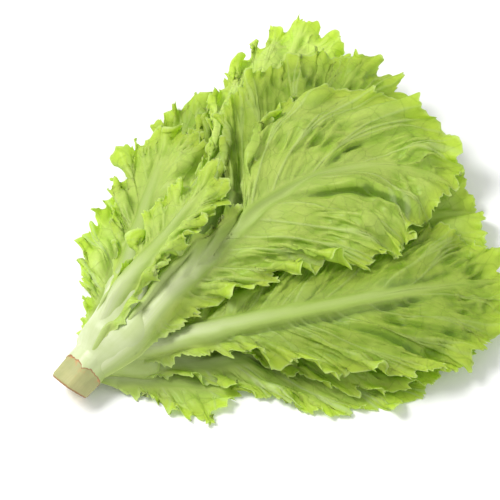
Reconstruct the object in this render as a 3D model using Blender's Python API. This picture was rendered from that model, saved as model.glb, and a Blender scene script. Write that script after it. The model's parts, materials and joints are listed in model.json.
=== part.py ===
"""A head of lollo bionda lettuce, lying on its side: a cut stem and the leaves that grow from it.

+X runs along the stem from its cut end towards the leaf tips, +Z is up and the head rests on z = 0.
Sizes are in millimetres and the meshes in metres. Each leaf is a sheet with a thick rib. The leaves
are laid one on another from the lowest to the highest, each lifted until it clears what is below it.
"""

import math
from dataclasses import dataclass

import bmesh
import bpy
import numpy as np
from mathutils import Matrix, Vector

MM = 0.001

# The stem: rings along its own axis, as (distance from the cut end, radius, height of the axis).
STEM_RINGS = (
    (0.0, 12.4, 12.4),
    (2.0, 13.1, 13.1),
    (22.0, 13.0, 13.3),
    (40.0, 13.4, 15.0),
    (56.0, 12.6, 18.0),
    (70.0, 10.4, 20.0),
    (82.0, 7.6, 21.0),
    (92.0, 4.4, 21.5),
)
STEM_SIDES = 18
STEM_FLUTES = 5  # shallow flutes down the stem, one under each row of leaves
STEM_FLUTE_DEPTH = 1.0
CUT_SLANT = 0.55  # the knife cut runs back under the stem by this share of the depth below its top
CUT_LENGTH = 22.0  # length over which the rings turn upright

# The leaf's blade, shared by all leaves
BLADE_THICKNESS = 0.8
STEEPEST = 2.6  # a steep blade is given at most this many times its thickness, measured upright
TURN_LATE = 1.6  # above 1 the rib turns more towards the tip than at the root
FULLEST = 0.70  # where the blade is widest, as a share of its length
RUFFLE_START = 0.22  # the margin is ruffled from this share of its length on
RUFFLE_RISE = 2.2  # above 1 the ruffle stays near the margin
JAG_DEPTH = 3.4  # how far the teeth of the margin stand out
LONGEST = 1.04  # the teeth at the tip reach at most this share of the length

# The leaf's rib, which is its thick stalk lower down
RIB_THICKNESS = 6.2  # at the thick lower end
RIB_THINS = 1.2  # above 1 it thins faster near the root
RIB_LEAST_THICKNESS = 1.2
RIB_HALF_WIDTH = 7.2
RIB_NARROWS = 0.8
RIB_LEAST_HALF_WIDTH = 0.8
RIB_WIDEST_SHARE = 0.6  # of the blade's half width
RIB_TIP_SHARE = 0.2
RIB_BACK_SHARE = 0.75  # how much of the rib stands out of the leaf's back

# The leaf's root, where it clasps the stem
ROOT_HALF_WIDTH = 9.0
ROOT_TAPER = 14.0  # length over which the rib thickens
ROOT_THIN = 0.3  # how far along that taper the root is cut
CLASP_RADIUS = 14.0  # the root curves round the stem at this radius
CLASP_LENGTH = 45.0  # and flattens out over this length

# The mesh of a leaf: veins from the rib to the margin, and rows across from the rib
VEINS = 26
ROWS = 3
MIDDLE_ROW = 0.62
VEIN_START = 0.85  # a vein leaves the rib at this share of where it ends, at the rib's ends
VEIN_SLANT = 0.25  # and at this much less where the blade is widest

# How the leaves lie
GAP = 0.7
CELL = 1.0  # cell size of the height map
MAP_LOW = (-60.0, -260.0)
MAP_SIZE = (440, 460)
EASING_STEPS = 4
LAYING_TRIES = 4

STALK_GREEN = (0.70, 0.76, 0.48, 1.0)
LEAF_GREEN = (0.33, 0.52, 0.07, 1.0)
INNER_GREEN = (0.45, 0.62, 0.13, 1.0)


@dataclass
class Leaf:
    """One leaf. Left and right are as seen from the root towards the tip, from above."""

    name: str
    root: tuple  # where it leaves the stem, along it and across it
    heading: tuple  # the rib's direction in plan at the root and at the tip, in degrees
    length: float
    half_width: tuple  # of the blade, left and right
    widens: tuple  # where the blade starts to widen, left and right, as a share of the length
    height: tuple  # of the rib at the root, at the middle and at the tip
    droop: tuple  # how far the margin hangs below the rib, left and right
    ruffle: float  # height of the waves of the margin
    wave: float  # length of one wave
    seed: int  # picks the leaf's own waves
    turn_late: float = TURN_LATE


# From the lowest to the highest. The outer leaves below the stem lie with their backs down.
LEAVES_BELOW = (
    Leaf("outer_leaf_1", (34, -13), (-52, -66), 74, (30, 26), (0.10, 0.10),
         (8, 3, 1), (-3, 2), 5.0, 27, 11),
    Leaf("outer_leaf_2", (41, -12), (-46, -58), 188, (50, 34), (0.14, 0.12),
         (8, 3, 2), (-2, 1), 5.5, 34, 12),
    Leaf("outer_leaf_3", (55, -6), (-44, -58), 206, (54, 42), (0.20, 0.16),
         (8, 3, 1), (-2, 1), 5.5, 36, 13),
    Leaf("outer_leaf_4", (66, -2), (-8, -20), 224, (60, 64), (0.18, 0.04),
         (7, 3, 0), (-2, -2), 5.0, 37, 14),
    Leaf("outer_leaf_5", (38, 12), (24, 42), 114, (24, 34), (0.12, 0.12),
         (8, 3, 4), (1, -3), 5.5, 29, 15),
    Leaf("outer_leaf_6", (48, 9), (20, 24), 204, (30, 48), (0.16, 0.18),
         (8, 3, 1), (1, -3), 6.0, 33, 16),
    Leaf("outer_leaf_7", (70, 6), (8, 12), 214, (46, 54), (0.20, 0.20),
         (11, 8, 7), (-2, -2), 5.5, 35, 17),
)
# The inner leaves grow from the thin end of the stem, and the last outer ones cover it from above.
# All of them lie with their backs up.
LEAVES_ABOVE = (
    Leaf("inner_leaf_1", (93, -4), (-26, -38), 206, (52, 52), (0.20, 0.06),
         (27, 20, 14), (3, 6), 5.5, 34, 21),
    Leaf("inner_leaf_2", (93, 3), (14, 26), 194, (30, 50), (0.24, 0.22),
         (27, 22, 18), (4, 4), 6.0, 33, 22),
    Leaf("inner_leaf_3", (93, 0), (-4, -8), 190, (54, 54), (0.22, 0.22),
         (30, 26, 20), (4, 4), 5.5, 35, 23),
    Leaf("inner_leaf_4", (54, 7), (27, 31), 152, (26, 38), (0.20, 0.22),
         (24, 26, 16), (6, 3), 6.5, 30, 24),
    Leaf("inner_leaf_5", (62, 3), (11, 18), 256, (30, 56), (0.45, 0.22),
         (24, 36, 24), (8, 8), 7.0, 33, 25),
    Leaf("inner_leaf_6", (60, -3), (-3, 14), 246, (56, 60), (0.28, 0.24),
         (24, 38, 24), (6, 8), 6.5, 36, 26),
    Leaf("outer_leaf_8", (46, -13), (-43, -26), 238, (62, 50), (0.05, 0.10),
         (18, 36, 16), (10, 12), 8.0, 35, 27),
    Leaf("outer_leaf_9", (43, -17), (-1, -77), 250, (64, 68), (0.42, 0.03),
         (28, 48, 28), (14, 20), 8.5, 36, 28, turn_late=3.2),
    Leaf("outer_leaf_10", (36, 3), (-2, 20), 124, (24, 17), (0.26, 0.05),
         (27, 44, 34), (8, 10), 7.5, 28, 29),
)


def smooth(x):
    """0 below 0, 1 above 1, and an even ease between them."""
    x = np.clip(x, 0.0, 1.0)
    return x * x * (3 - 2 * x)


def rib_line(leaf, along):
    """The rib in plan at the distances along it: x, y and the way it heads."""
    steps = np.linspace(0.0, leaf.length, 240)
    share = (steps / leaf.length) ** leaf.turn_late
    turn = np.radians(leaf.heading[0] + (leaf.heading[1] - leaf.heading[0]) * share)
    step = steps[1]
    x = leaf.root[0] + np.concatenate([[0.0], np.cumsum(np.cos(turn[1:]) * step)])
    y = leaf.root[1] + np.concatenate([[0.0], np.cumsum(np.sin(turn[1:]) * step)])
    return np.interp(along, steps, x), np.interp(along, steps, y), np.interp(along, steps, turn)


def rib_height(leaf, along):
    """The rib's height: an arch through its three given heights."""
    root, middle, tip = leaf.height
    share = along / leaf.length
    ends = root * (1 - share) * (1 - 2 * share) + tip * share * (2 * share - 1)
    return ends + 4 * middle * share * (1 - share)


def margin(leaf, side):
    """One side's margin in even steps: the distances along and across the rib, and its whole length."""
    half_width, widens = leaf.half_width[side], leaf.widens[side]
    lower = np.linspace(0.0, FULLEST, 90)
    swell = ROOT_HALF_WIDTH + (half_width - ROOT_HALF_WIDTH) * smooth((lower - widens) / (FULLEST - widens))
    turn = np.linspace(0.0, math.pi / 2, 60)[1:]
    along = np.concatenate([lower, FULLEST + (1 - FULLEST) * np.sin(turn)]) * leaf.length
    across = np.concatenate([swell, half_width * np.cos(turn)])
    run = np.concatenate([[0.0], np.cumsum(np.hypot(np.diff(along), np.diff(across)))])
    even = np.linspace(0.0, run[-1], VEINS + 1)
    return np.interp(even, run, along), np.interp(even, run, across), run[-1]


def waves(distance, wave, seed):
    """An uneven wave along the margin, between about -1 and 1."""
    phase = np.random.default_rng(seed).uniform(0, 2 * math.pi, 3)
    turn = 2 * math.pi * distance / wave
    return (
        0.62 * np.sin(turn + phase[0])
        + 0.28 * np.sin(1.63 * turn + phase[1])
        + 0.22 * np.sin(0.37 * turn + phase[2])
    )


def rows_across(rib_half, edge_across):
    """How far along each vein the rows lie: at the rib's middle, the rib's side, the blade and the margin."""
    rib_side = np.minimum(rib_half / np.maximum(edge_across, rib_half), RIB_WIDEST_SHARE)
    rib_side[-1] = RIB_TIP_SHARE
    return np.zeros(VEINS + 1), rib_side, np.full(VEINS + 1, MIDDLE_ROW), np.ones(VEINS + 1)


def leaf_grid(leaf, back_up):
    """The leaf before it is laid: x, y, z and the thickness above and below, each (veins, rows across)."""
    shape = (VEINS + 1, 2 * ROWS + 1)
    x, y, z, above, below = (np.zeros(shape) for _ in range(5))
    share = np.linspace(0.0, 1.0, VEINS + 1)
    ruffled = smooth(share / RUFFLE_START)
    for side, sign in ((0, 1), (1, -1)):
        edge_along, edge_across, edge_length = margin(leaf, side)
        start = edge_along * (VEIN_START - VEIN_SLANT * edge_across / leaf.half_width[side])
        thinning = 1 - start / leaf.length
        rib_half = RIB_HALF_WIDTH * thinning**RIB_NARROWS + RIB_LEAST_HALF_WIDTH
        rib = RIB_THICKNESS * thinning**RIB_THINS * smooth(ROOT_THIN + (1 - ROOT_THIN) * start / ROOT_TAPER)
        clasp = (1 - smooth(start / CLASP_LENGTH)) / (2 * CLASP_RADIUS)
        from_tip = sign * (share - 1) * edge_length
        jag = JAG_DEPTH * waves(from_tip, 0.5 * leaf.wave, leaf.seed + 100) * ruffled
        ruffle = leaf.ruffle * waves(from_tip, leaf.wave, leaf.seed) * ruffled
        lean = np.arctan2(edge_across, np.maximum(edge_along - start, 1e-6))
        for row, out in enumerate(rows_across(rib_half, edge_across)):
            reach = jag if row == ROWS else 0.0
            along = start + (edge_along - start) * out + reach * np.cos(lean)
            along = np.clip(along, 0.0, leaf.length * LONGEST)
            across = sign * (edge_across * out + reach * np.sin(lean))
            on_rib = np.minimum(along, leaf.length)
            rib_x, rib_y, turn = rib_line(leaf, on_rib)
            beyond = along - on_rib
            column = ROWS - sign * row
            x[:, column] = rib_x + beyond * np.cos(turn) - across * np.sin(turn)
            y[:, column] = rib_y + beyond * np.sin(turn) + across * np.cos(turn)
            hang = leaf.droop[side] * (across / leaf.half_width[side]) ** 2
            rise = ruffle * out**RUFFLE_RISE
            z[:, column] = rib_height(leaf, on_rib) - hang - clasp * across**2 + rise
            thickness = np.maximum(rib, RIB_LEAST_THICKNESS) if row == 0 else BLADE_THICKNESS
            back_part = RIB_BACK_SHARE if back_up else 1 - RIB_BACK_SHARE
            above[:, column] = back_part * thickness
            below[:, column] = (1 - back_part) * thickness
    above, below = above * steepness(x, y, z), below * steepness(x, y, z)
    # The two sides meet along the last vein, which runs from the rib's end to the tip.
    for field in (x, y, z, above, below):
        field[-1] = (field[-1] + field[-1, ::-1]) / 2
    return x, y, z, above, below


def steepness(x, y, z):
    """How much a slope makes the blade thicker when it is measured upright."""
    rise = np.zeros_like(z)
    for axis in (0, 1):
        run = np.hypot(np.diff(x, axis=axis), np.diff(y, axis=axis))
        slope = np.abs(np.diff(z, axis=axis)) / np.maximum(run, 1.0)
        widths = [(0, 0), (0, 0)]
        widths[axis] = (1, 1)
        padded = np.pad(slope, widths)
        first = np.take(padded, range(z.shape[axis]), axis=axis)
        second = np.take(padded, range(1, z.shape[axis] + 1), axis=axis)
        rise = np.hypot(rise, np.maximum(first, second))
    return np.minimum(np.sqrt(1 + rise**2), STEEPEST)


class Pile:
    """The height of all that has been laid so far, over the table's cells."""

    def __init__(self):
        self.top = np.full(MAP_SIZE, -GAP)

    def covered(self, corners):
        """The cells under a triangle, widened by a cell, and each corner's weight there."""
        low = np.floor((corners.min(axis=0) - MAP_LOW) / CELL).astype(int) - 1
        high = np.ceil((corners.max(axis=0) - MAP_LOW) / CELL).astype(int) + 2
        across, up = np.meshgrid(np.arange(low[0], high[0]), np.arange(low[1], high[1]), indexing="ij")
        points = np.stack([across, up], axis=-1).reshape(-1, 2) * CELL + MAP_LOW
        edge_b, edge_c = corners[1] - corners[0], corners[2] - corners[0]
        area = edge_b[0] * edge_c[1] - edge_b[1] * edge_c[0]
        if abs(area) < 1e-3:
            return np.zeros((0, 2), int), np.zeros((0, 3))
        away = points - corners[0]
        b = (away[:, 0] * edge_c[1] - away[:, 1] * edge_c[0]) / area
        c = (edge_b[0] * away[:, 1] - edge_b[1] * away[:, 0]) / area
        weights = np.stack([1 - b - c, b, c], axis=-1)
        reach = CELL * max(np.hypot(*edge_b), np.hypot(*edge_c)) / abs(area)
        inside = weights.min(axis=1) >= -reach
        weights = np.clip(weights[inside], 0.0, 1.0)
        weights /= weights.sum(axis=1, keepdims=True)
        return np.stack([across.ravel(), up.ravel()], axis=-1)[inside], weights

    def shortfall(self, plan, underside, triangles):
        """How far each point has to rise for the sheet to clear the pile."""
        short = np.zeros(len(plan))
        for corners in triangles:
            cells, weights = self.covered(plan[corners])
            if len(cells):
                need = self.top[cells[:, 0], cells[:, 1]] + GAP - weights @ underside[corners]
                short[corners] = np.maximum(short[corners], need.max())
        return short

    def add(self, plan, top, triangles):
        for corners in triangles:
            cells, weights = self.covered(plan[corners])
            level = weights @ top[corners]
            np.maximum.at(self.top, (cells[:, 0], cells[:, 1]), level)


def eased(lift):
    """The lift spread to its neighbours, so that a sheet rises over what is below it without a step."""
    least = lift.copy()
    for _ in range(EASING_STEPS):
        padded = np.pad(lift, 1, mode="edge")
        around = (padded[:-2, 1:-1] + padded[2:, 1:-1] + padded[1:-1, :-2] + padded[1:-1, 2:]) / 4
        lift = np.maximum(least, (lift + around) / 2)
    lift[-1] = np.maximum(lift[-1], lift[-1, ::-1])
    return lift


def lay_sheet(pile, plan, z, above, below, triangles):
    """Lays a sheet on the pile and gives its underside and its top."""
    z = np.maximum(z, below)
    for _ in range(LAYING_TRIES):
        short = pile.shortfall(plan, (z - below).ravel(), triangles).reshape(z.shape)
        if short.max() < 1e-6:
            break
        z = z + eased(short)
    pile.add(plan, (z + above).ravel(), triangles)
    return (z - below).ravel(), (z + above).ravel()


def leaf_mesh(leaf, pile, back_up):
    """The laid leaf as a closed mesh: a triangulated sheet given its thickness upwards."""
    columns = 2 * ROWS
    bm = bmesh.new()
    bmesh.ops.create_grid(bm, x_segments=columns, y_segments=VEINS, size=1.0)
    point = bm.verts.layers.int.new("point")
    for vert in bm.verts:
        across, up = (vert.co.x + 1) / 2 * columns, (vert.co.y + 1) / 2 * VEINS
        vert[point] = round(up) * (columns + 1) + round(across)
    bmesh.ops.triangulate(bm, faces=bm.faces[:], quad_method="SHORT_EDGE")
    triangles = np.array([[vert[point] for vert in face.verts] for face in bm.faces])
    x, y, z, above, below = leaf_grid(leaf, back_up)
    plan = np.stack([x.ravel(), y.ravel()], axis=-1)
    underside, top = lay_sheet(pile, plan, z, above, below, triangles)
    for vert in bm.verts:
        vert.co = (*plan[vert[point]], underside[vert[point]])
    # The sides meet along the last vein.
    bmesh.ops.remove_doubles(bm, verts=bm.verts[:], dist=1e-4)
    raised = bmesh.ops.extrude_face_region(bm, geom=bm.faces[:])
    for vert in raised["geom"]:
        if isinstance(vert, bmesh.types.BMVert):
            vert.co.z = top[vert[point]]
    return finished(bm, leaf.name)


def finished(bm, name):
    """The mesh in metres, with its faces pointing out."""
    bmesh.ops.recalc_face_normals(bm, faces=bm.faces[:])
    bmesh.ops.scale(bm, vec=(MM, MM, MM), verts=bm.verts[:])
    mesh = bpy.data.meshes.new(name)
    bm.to_mesh(mesh)
    bm.free()
    mesh.shade_smooth()
    return mesh


def stem_lean(pile):
    """The slope that lifts the stem clear of the leaves below it, while its cut end stays on the table."""
    rings = np.array(STEM_RINGS)
    lean = 0.0
    for along in np.arange(rings[1, 0], rings[-1, 0], CELL):
        radius, centre = (np.interp(along, rings[:, 0], rings[:, k]) for k in (1, 2))
        for across in np.arange(-radius, radius, CELL):
            cell = ((along, across) - np.array(MAP_LOW)) / CELL
            row, column = np.round(cell).astype(int)
            bottom = centre - math.sqrt(max(radius**2 - across**2, 0.0))
            around = pile.top[row - 1 : row + 2, column - 1 : column + 2].max()
            lean = max(lean, (around + GAP - bottom) / along)
    return lean


def stem_mesh(pile):
    """The stem: a fluted rod bridged from ring to ring, flat at its cut end."""
    lean = stem_lean(pile)
    bm = bmesh.new()
    rings = []
    for along, radius, centre in STEM_RINGS:
        turned = Matrix.Translation((along, 0, centre + lean * along)) @ Matrix.Rotation(math.pi / 2, 4, "Y")
        ring = bmesh.ops.create_circle(bm, segments=STEM_SIDES, radius=radius, matrix=turned)["verts"]
        for number, vert in enumerate(ring):
            flute = STEM_FLUTE_DEPTH * (1 - math.cos(2 * math.pi * STEM_FLUTES * number / STEM_SIDES)) / 2
            middle = Vector((along, 0, centre + lean * along))
            vert.co = middle + (vert.co - middle) * (1 - flute / radius)
        top = max(vert.co.z for vert in ring)
        for vert in ring:
            vert.co.x += CUT_SLANT * (top - vert.co.z) * max(0.0, 1 - along / CUT_LENGTH)
        rings.append({edge for vert in ring for edge in vert.link_edges})
    for first, second in zip(rings, rings[1:]):
        bmesh.ops.bridge_loops(bm, edges=list(first | second))
    bmesh.ops.holes_fill(bm, edges=bm.edges[:], sides=STEM_SIDES)
    bmesh.ops.triangulate(bm, faces=bm.faces[:])
    bmesh.ops.translate(bm, vec=(0, 0, -min(vert.co.z for vert in bm.verts)), verts=bm.verts[:])
    top = np.array([vert.co.z for vert in bm.verts])
    plan = np.array([(vert.co.x, vert.co.y) for vert in bm.verts])
    pile.add(plan, top, np.array([[vert.index for vert in face.verts] for face in bm.faces]))
    return finished(bm, "stem")


def material(name, colour, roughness):
    made = bpy.data.materials.new(name)
    made.use_nodes = True
    shader = made.node_tree.nodes["Principled BSDF"]
    shader.inputs["Base Color"].default_value = colour
    shader.inputs["Roughness"].default_value = roughness
    return made


def main():
    for old in list(bpy.data.objects):
        bpy.data.objects.remove(old)
    stalk = material("stalk", STALK_GREEN, 0.5)
    outer = material("outer leaf", LEAF_GREEN, 0.55)
    inner = material("inner leaf", INNER_GREEN, 0.55)
    pile = Pile()
    meshes = [(leaf_mesh(leaf, pile, back_up=False), outer) for leaf in LEAVES_BELOW]
    meshes.append((stem_mesh(pile), stalk))
    for leaf in LEAVES_ABOVE:
        finish = inner if leaf.name.startswith("inner") else outer
        meshes.append((leaf_mesh(leaf, pile, back_up=True), finish))

    # The frame's origin is under the middle of the head, on the table.
    corners = np.array([vert.co for mesh, _ in meshes for vert in mesh.vertices])
    middle = (corners.min(axis=0) + corners.max(axis=0)) / 2
    head = bpy.data.objects.new("head", None)
    head.location = (-middle[0], -middle[1], -corners[:, 2].min())
    bpy.context.scene.collection.objects.link(head)
    for mesh, finish in meshes:
        mesh.materials.append(finish)
        piece = bpy.data.objects.new(mesh.name, mesh)
        piece.parent = head
        bpy.context.scene.collection.objects.link(piece)


main()
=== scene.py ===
"""A head of lollo bionda lettuce lying on its side: the looks of its stem and its leaves.

Each solid of the frame gives where a leaf lies. Here the leaf becomes a fine sheet through its solid,
with a fleshy rib, standing veins and a margin ruffled in waves of several sizes. A shape is worked out
in millimetres from the middle of the stem's cut end, and put in the frame, in metres, when it is made.
"""
import json
import math
from dataclasses import dataclass, replace

import bmesh
import bpy
import numpy as np
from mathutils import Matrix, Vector

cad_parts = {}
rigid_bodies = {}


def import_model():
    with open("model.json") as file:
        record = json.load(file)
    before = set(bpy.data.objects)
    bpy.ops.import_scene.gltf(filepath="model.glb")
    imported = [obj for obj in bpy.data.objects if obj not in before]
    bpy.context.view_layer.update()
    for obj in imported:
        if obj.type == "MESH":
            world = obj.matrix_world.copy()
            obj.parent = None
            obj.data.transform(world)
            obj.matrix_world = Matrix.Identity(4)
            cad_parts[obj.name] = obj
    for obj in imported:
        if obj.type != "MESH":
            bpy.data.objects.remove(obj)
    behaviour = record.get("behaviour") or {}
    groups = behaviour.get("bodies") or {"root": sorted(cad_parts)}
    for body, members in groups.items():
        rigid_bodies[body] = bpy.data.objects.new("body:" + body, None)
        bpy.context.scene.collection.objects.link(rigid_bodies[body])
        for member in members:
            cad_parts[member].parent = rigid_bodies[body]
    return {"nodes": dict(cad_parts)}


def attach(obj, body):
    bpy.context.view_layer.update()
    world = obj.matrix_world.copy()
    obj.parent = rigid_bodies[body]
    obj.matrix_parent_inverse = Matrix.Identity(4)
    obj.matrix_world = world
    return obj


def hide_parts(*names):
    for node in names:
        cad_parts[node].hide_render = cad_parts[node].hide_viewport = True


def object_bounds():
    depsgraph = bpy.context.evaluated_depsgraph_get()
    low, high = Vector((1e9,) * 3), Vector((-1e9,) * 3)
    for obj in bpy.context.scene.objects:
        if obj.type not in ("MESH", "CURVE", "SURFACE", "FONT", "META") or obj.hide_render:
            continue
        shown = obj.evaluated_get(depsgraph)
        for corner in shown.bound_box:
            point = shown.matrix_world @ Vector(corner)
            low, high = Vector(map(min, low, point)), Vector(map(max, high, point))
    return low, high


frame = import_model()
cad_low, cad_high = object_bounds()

MM = 0.001

# The plan of a leaf, as the part's source has it
TURN_LATE = 1.6  # above 1 the rib turns more towards the tip than at the root
FULLEST = 0.70  # where the blade is widest, as a share of its length
RUFFLE_START = 0.22  # the margin is ruffled from this share of its run on
JAG_DEPTH = 3.4  # how far the lobes of the margin stand out
EARLIEST_RUFFLE = 0.06  # the ruffles start by this share where the blade widens early
WING = 5.0  # how far the ruffles beside an early widening rib stand out
WING_LENGTH, WING_RISE, WING_EASE = 0.34, 0.08, 0.15  # shares of the margin's run
EARLY = 0.2  # only a blade that widens before this share of its length has a wing
LONGEST = 1.04  # no lobe reaches past this share of the leaf's length
RIB_STEPS = 240
MARGIN_STEPS = (90, 60)  # up to where the blade is widest, and round the tip
RIB_HALF_WIDTH = 7.2
RIB_NARROWS = 0.8  # the power by which it narrows towards the tip
RIB_LEAST_HALF_WIDTH = 0.8
RIB_WIDEST_SHARE = 0.6  # of the blade's half width
RIB_TIP_SHARE = 0.2
RIB_BACK_SHARE = 0.75  # how much of the rib stands out of the leaf's back
ROOT_HALF_WIDTH = 9.0
VEINS = 26  # of a solid, on a side
ROWS = 3  # of a solid's corners from the rib to the margin
MIDDLE_ROW = 0.62  # where the middle one is, as a share of the vein
VEIN_START = 0.85  # a vein leaves the rib at this share of where it ends, at the rib's ends
VEIN_SLANT = 0.25  # and at this much less where the blade is widest
CORNER_REACH = 0.08  # a solid's corner is found within this distance of its planned place

# The fine sheet
BLADE_THICKNESS = 0.5
RIB_THICKNESS = 6.2
RIB_THINS = 1.2
RIB_LEAST_THICKNESS = 0.8
ROOT_FULLNESS = 0.55  # the rib is this full at its root
ROOT_TAPER = 14.0
RIB_ROWS = 6  # rows of the mesh within the rib, on each side
MARGIN_CROWDING = 1.6  # above 1 the rows of the mesh crowd towards the margin
THINNED_ROWS = 14  # rows from the rib on that have only every other vein of the mesh
TONGUE_ROWS = 14  # rows of the mesh that lead the root into the stem
TONGUE_LENGTH = 30.0
TONGUE_END = 13.0  # no root reaches nearer to the stem's cut end
TONGUE_THINS, TONGUE_THINS_EARLY = 0.8, 1.4  # how much thinner its end is, and how soon
TONGUE_LEAVES, TONGUE_ARRIVES = 0.5, 0.3  # how straight it leaves the root and meets the stem
TONGUE_OFF_AXIS, TONGUE_SINKS, TONGUE_NARROWS = 0.25, 0.15, 0.6
EDGE_THINS, EDGE_WIDTH = 0.4, 3.0  # the blade is this much thinner along its margin
FAN_AT_RIB = 0.35  # the veins' spacing at the rib, as a share of that at the margin
CLOSED = 0.3  # the sheet is plain where its veins are closer than this share of the usual

# The stem's rings, as (distance from the cut end, radius, height of the axis before it leans)
STEM_RINGS = (
    (0, 12.4, 12.4), (2, 13.1, 13.1), (22, 13.0, 13.3), (40, 13.4, 15.0),
    (56, 12.6, 18.0), (70, 10.4, 20.0), (82, 7.6, 21.0), (92, 4.4, 21.5),
)
UPRIGHT_RINGS = (22, 92)  # two rings that the slanted cut leaves upright
CUT_SLANT = 0.55  # how far the cut runs back, for its depth below the top
CUT_LENGTH = 22.0  # the slant has died out this far up the stem
STEM_SIDES = 180
SHAVED_LOBES = ((-0.50, 0.92, 17.5), (1.10, 0.90, 18.5))  # middle and half width in radians, and length
SHAVED_LEAST = 12.5  # how far the patch reaches at the notch between its lobes
SHAVED_DEPTH = 1.3
STEM_FLUTES = 5
STEM_FLUTE_DEPTH = 1.0
SKIN_RADIUS = 12.0  # of the cylinder on which the skin's pattern is drawn
COLLAR_HALF_WIDTH = 20.0  # of the ridge by which the stem's skin runs out onto a leaf's rib
COLLAR_PROUD = 1.2  # how far the ridge stands over the rib at the leaf's root
COLLAR_SINK = 8.0  # how far it sinks into the rib on the way out
COLLAR_LENGTH = 31.0
COLLAR_START, COLLAR_RISE = 18.0, 14.0
COLLARED_ROOTS = 80.0  # leaves that start further up the stem have no ridge
COLLAR_BLEND = 2.6  # the power by which neighbouring ridges run together

# The relief of a blade
VEIN_SPACING = 24.0
VEIN_HEIGHT, VEIN_WIDTH, VEIN_SINKS = 0.7, 1.8, 0.6
FORK_START, FORK_SPREAD, FORK_FAINTER = 0.45, 0.20, 0.25
HOLLOW_WIDTH, HOLLOW_LENGTH, HOLLOW_DEPTH = 10.5, 20.0, 1.8
HOLLOW_TOP, HOLLOW_LEVEL = 1.4, 0.5  # the ridges between hollows end at the first, and level is the second
HOLLOW_AT_RIB, HOLLOW_AT_VEIN = 0.45, 0.4
PATCH = 45.0  # size of the patches with deep or shallow hollows
SWELL_WIDTH, SWELL_LENGTH, SWELL_HEIGHT = 34.0, 46.0, 2.1
GRAIN_SIZE, GRAIN_HEIGHT = 4.5, 0.16
RELIEF_START, RELIEF_FULL = 3.0, 14.0  # from the margin on
FAR = 99.0

# Clearance between sheets
CELL = 1.0  # cell size of the height maps
MAP_LOW = (-60.0, -260.0)
MAP_SIZE = (440, 460)
MAP_SPREAD = 8  # how many cells a sheet's heights are carried past its margin
MAP_EVENING = 6  # how many times a map is smoothed
LEAST_GAP = 0.12
LEAST_ROOM = 0.05
FLOOR_GAP = 0.3
RISE_REACH, RISE_SHARE = 20.0, 0.62  # the margin rises where it has more room above than below
EVENING = (0.14, 0.22, 0.28, 0.22, 0.14)  # how a smoothed height weighs those along the rib
STEPS_LEFT = (1, 0.5, 0, 0, 0, 0.5, 1)  # how much of the steps is left, from margin to margin
RIB_CLEAR = 6.0  # the ruffles reach their full height this far beside the rib
TIP_SHARE = 0.12  # and across the rib too on this share of the margin's run
TOP_ALLOWANCE = 1.5  # how far the ruffles may pass the solids' highest point

# The places that the materials' patterns read
PATTERN = 10.0  # millimetres to one of the patterns' units
NET_SLANT, NET_STRETCH = math.radians(38), 0.5  # the net's meshes lie along the side veins


@dataclass
class Leaf:
    """One leaf. Left and right are as seen from the root towards the tip, from above."""

    name: str
    back_up: bool
    root: tuple  # where it leaves the stem, along it and across it
    heading: tuple  # the rib's direction in plan at the root and at the tip, in degrees
    length: float
    half_width: tuple  # of the blade, left and right
    widens: tuple  # where the blade starts to widen, left and right, as a share of the length
    wave: float  # length of one wave of the solid's margin
    seed: int  # of the leaf's own waves and veins, each of which adds a number of its own
    fineness: tuple = (190, 18)  # veins of the mesh on a side, and its rows from the rib to the margin
    shade: float = 0.5  # 0 is the palest green of the head, 1 the deepest
    white_veins: float = 0.2  # how much the veins stand out in white
    folds: tuple = ()  # creases, as (start, end, height), each place as (along, across) the leaf
    winged: float = 1.0  # the wing's share of its size
    evened: bool = False  # the steps in its heights are smoothed away
    turn_late: float = TURN_LATE  # the leaf's own, where it has one


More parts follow.
